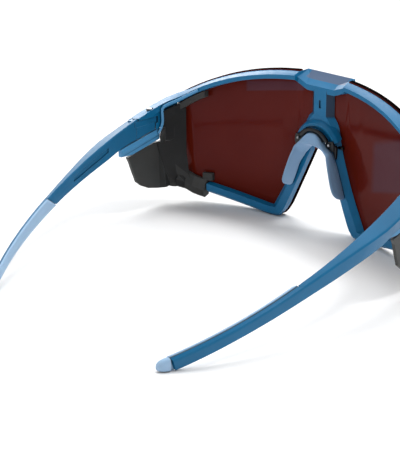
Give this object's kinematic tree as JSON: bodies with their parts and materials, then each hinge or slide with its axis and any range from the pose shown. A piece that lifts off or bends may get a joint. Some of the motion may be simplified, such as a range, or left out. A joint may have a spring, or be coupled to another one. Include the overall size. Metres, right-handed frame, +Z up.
{
  "type": "wraparound sport sunglasses",
  "caption": "Wraparound sport sunglasses with a one-piece shield lens, folding temples with rubber grips, a soft nose pad and clip-on side shields.",
  "frame": {"origin": "middle of the footprint, on the ground plane that the lower rim corners and the temple tips rest on", "axes": "+Z up, +Y the way the wearer looks, +X the wearer's right; X = 0 is the mid-plane"},
  "size_m": [0.142, 0.1406, 0.0619],
  "materials": {
    "frame_blue": "satin blue moulded nylon",
    "trim_blue": "satin light blue moulded plastic",
    "rubber_blue": "soft matte light blue rubber",
    "lens_tint": "polished dark red tinted polycarbonate",
    "shield_black": "matte black flexible plastic",
    "black_plastic": "satin black plastic",
    "steel": "plain turned steel"
  },
  "bodies": {
    "frame": {"frame": "frame_blue", "lens": "lens_tint", "hinge_pin_left": "steel", "hinge_pin_right": "steel", "nose_saddle": "rubber_blue", "nose_wire": "black_plastic", "nose_stud_left": "black_plastic", "nose_stud_right": "black_plastic", "nose_rivet_left": "steel", "nose_rivet_right": "steel", "nose_pin_left": "black_plastic", "nose_pin_right": "black_plastic"},
    "temple_left": {"temple_left": "frame_blue", "temple_grip_left": "rubber_blue"},
    "temple_right": {"temple_right": "frame_blue", "temple_grip_right": "rubber_blue"},
    "shield_left": {"side_shield_left": "shield_black", "shield_carrier_left": "trim_blue"},
    "shield_right": {"side_shield_right": "shield_black", "shield_carrier_right": "trim_blue"},
    "nose_leg_left": {"nose_leg_left": "rubber_blue"},
    "nose_leg_right": {"nose_leg_right": "rubber_blue"}
  },
  "joints": [
    {"name": "temple_left_fold", "type": "hinge", "parent": "frame", "child": "temple_left", "pos_m": [-0.0651, 0.03585, 0.0375], "axis": [0, 0, 1], "range_deg": [0, 87]},
    {"name": "temple_right_fold", "type": "hinge", "parent": "frame", "child": "temple_right", "pos_m": [0.0651, 0.03585, 0.0375], "axis": [0, 0, -1], "range_deg": [0, 79]},
    {"name": "shield_left_release", "type": "slide", "parent": "frame", "child": "shield_left", "axis": [-0.2867, 0.9079, 0.3058], "range_m": [-0.008, 0], "stiffness_N_per_m": 60},
    {"name": "shield_right_release", "type": "slide", "parent": "frame", "child": "shield_right", "axis": [0.2867, 0.9079, 0.3058], "range_m": [-0.008, 0], "stiffness_N_per_m": 60},
    {"name": "nose_leg_left_bend", "type": "hinge", "parent": "frame", "child": "nose_leg_left", "pos_m": [-0.0079, 0.06025, 0.0324], "axis": [0, 1, 0], "range_deg": [-6, 6], "stiffness_Nm_per_rad": 0.05},
    {"name": "nose_leg_right_bend", "type": "hinge", "parent": "frame", "child": "nose_leg_right", "pos_m": [0.0079, 0.06025, 0.0324], "axis": [0, -1, 0], "range_deg": [-6, 6], "stiffness_Nm_per_rad": 0.05}
  ]
}
